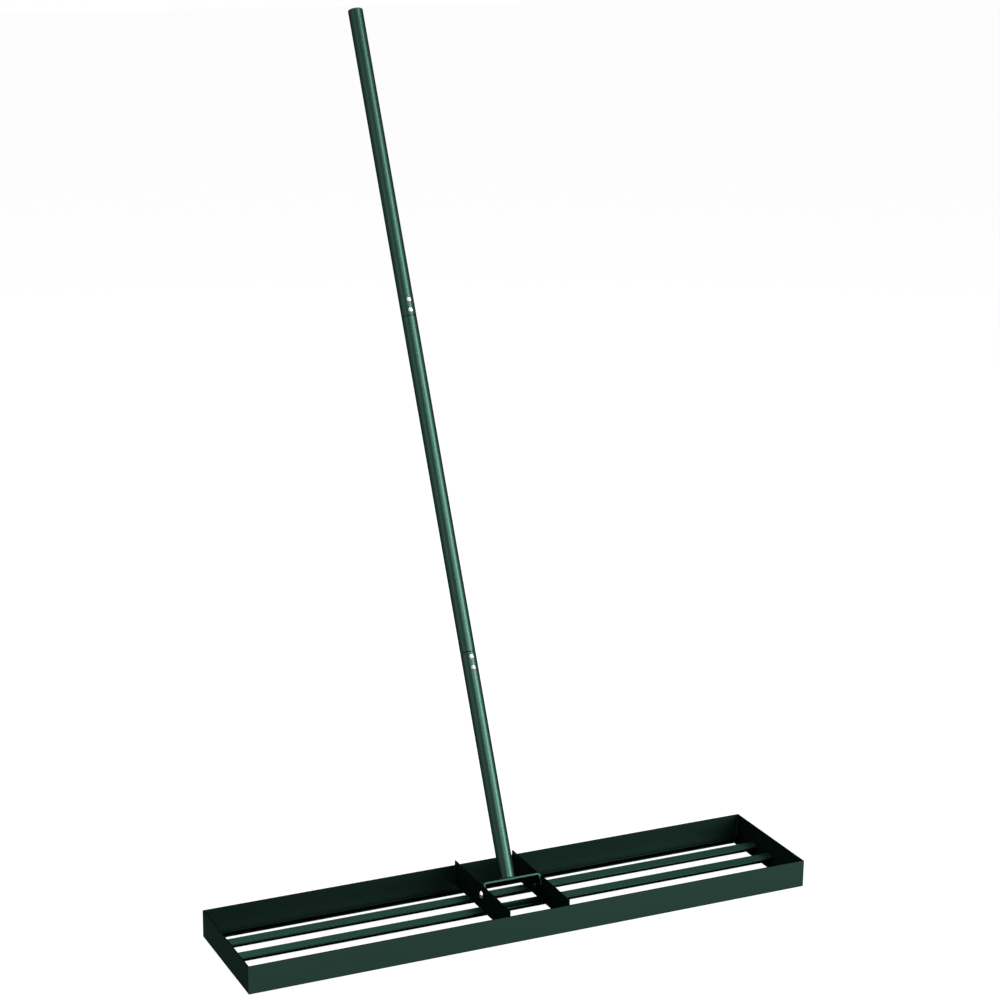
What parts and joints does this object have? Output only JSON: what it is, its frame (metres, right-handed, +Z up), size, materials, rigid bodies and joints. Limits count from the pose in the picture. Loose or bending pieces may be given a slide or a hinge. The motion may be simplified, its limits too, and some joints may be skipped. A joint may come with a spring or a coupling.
{
  "type": "lawn leveling rake",
  "caption": "Wide open rectangular steel head with flat leveling bars between low walls, on a tilting yoke with a long sectioned tube handle.",
  "frame": {"origin": "middle of the head on the ground, straight below the pivot", "axes": "+X along the head, +Y to the back where the handle leans, +Z up"},
  "size_m": [1.067, 0.8591, 1.5299],
  "materials": {
    "green_coat": "dark green powder coat, satin",
    "zinc": "bright zinc plate",
    "black_zinc": "black zinc plate",
    "black_plastic": "moulded, fine grain"
  },
  "bodies": {
    "head": {"front_wall": "green_coat", "back_wall": "green_coat", "left_end_wall": "green_coat", "right_end_wall": "green_coat", "front_bar": "green_coat", "middle_bar": "green_coat", "rear_bar": "green_coat", "left_center_plate": "green_coat", "right_center_plate": "green_coat", "left_pivot_bolt": "zinc", "right_pivot_bolt": "zinc", "left_pivot_washer": "black_zinc", "right_pivot_washer": "black_zinc", "left_pivot_nut": "black_zinc", "right_pivot_nut": "black_zinc"},
    "handle": {"yoke": "green_coat", "foot_weld": "green_coat", "lower_tube": "green_coat", "middle_tube": "green_coat", "upper_tube": "green_coat", "end_plug": "black_plastic", "lower_joint_screws": "zinc", "upper_joint_screws": "zinc", "lower_joint_nuts": "zinc", "upper_joint_nuts": "zinc"}
  },
  "joints": [
    {"name": "handle_tilt", "type": "hinge", "parent": "head", "child": "handle", "pos_m": [0, 0, 0.0424], "axis": [1, 0, 0], "range_deg": [-46, 104]}
  ]
}
